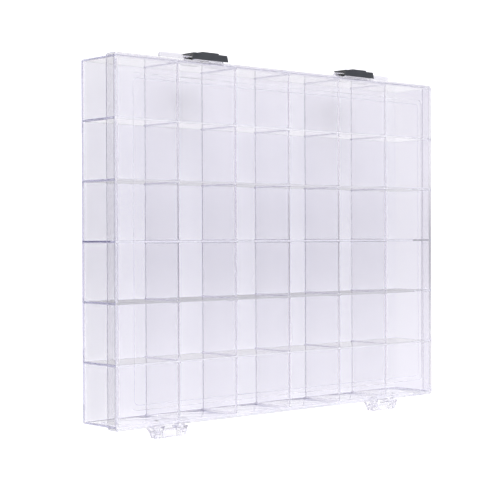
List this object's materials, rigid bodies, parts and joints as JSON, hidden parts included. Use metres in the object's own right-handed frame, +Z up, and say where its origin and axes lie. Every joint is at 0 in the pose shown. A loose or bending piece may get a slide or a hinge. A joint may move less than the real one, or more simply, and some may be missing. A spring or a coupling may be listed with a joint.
{
  "type": "embroidery thread box",
  "caption": "Flat clear plastic thread box with a grid of small compartments, removable cross dividers, a hinged lid and dark snap latches on the front.",
  "frame": {"origin": "middle of the flat underside that the closed box rests on", "axes": "+Z up through the lid, +X along the long side to the right when the latches face you, -Y to the latches, +Y to the hinges"},
  "size_m": [0.345, 0.2888, 0.044],
  "materials": {
    "clear_plastic": "clear, glossy, faintly violet-blue, water-white across a single wall",
    "latch_plastic": "dark grey-green, satin moulded"
  },
  "bodies": {
    "base": {"base_tray": "clear_plastic", "divider_r1_c1": "clear_plastic", "divider_r1_c2": "clear_plastic", "divider_r1_c3": "clear_plastic", "divider_r1_c4": "clear_plastic", "divider_r1_c5": "clear_plastic", "divider_r2_c1": "clear_plastic", "divider_r2_c2": "clear_plastic", "divider_r2_c3": "clear_plastic", "divider_r2_c4": "clear_plastic", "divider_r2_c5": "clear_plastic", "divider_r3_c1": "clear_plastic", "divider_r3_c2": "clear_plastic", "divider_r3_c3": "clear_plastic", "divider_r3_c4": "clear_plastic", "divider_r3_c5": "clear_plastic", "divider_r4_c1": "clear_plastic", "divider_r4_c2": "clear_plastic", "divider_r4_c3": "clear_plastic", "divider_r4_c4": "clear_plastic", "divider_r4_c5": "clear_plastic", "divider_r5_c1": "clear_plastic", "divider_r5_c2": "clear_plastic", "divider_r5_c3": "clear_plastic", "divider_r5_c4": "clear_plastic", "divider_r5_c5": "clear_plastic", "divider_r6_c1": "clear_plastic", "divider_r6_c2": "clear_plastic", "divider_r6_c3": "clear_plastic", "divider_r6_c4": "clear_plastic", "divider_r6_c5": "clear_plastic"},
    "lid": {"lid": "clear_plastic"},
    "latch_left": {"latch_left": "latch_plastic"},
    "latch_right": {"latch_right": "latch_plastic"}
  },
  "joints": [
    {"name": "lid_hinge", "type": "hinge", "parent": "base", "child": "lid", "pos_m": [0, 0.1419, 0.0336], "axis": [-1, 0, 0], "range_deg": [0, 180]},
    {"name": "latch_left_pivot", "type": "hinge", "parent": "base", "child": "latch_left", "pos_m": [-0.0816, -0.1383, 0.0312], "axis": [1, 0, 0], "range_deg": [0, 90]},
    {"name": "latch_right_pivot", "type": "hinge", "parent": "base", "child": "latch_right", "pos_m": [0.0816, -0.1383, 0.0312], "axis": [1, 0, 0], "range_deg": [0, 90]}
  ]
}
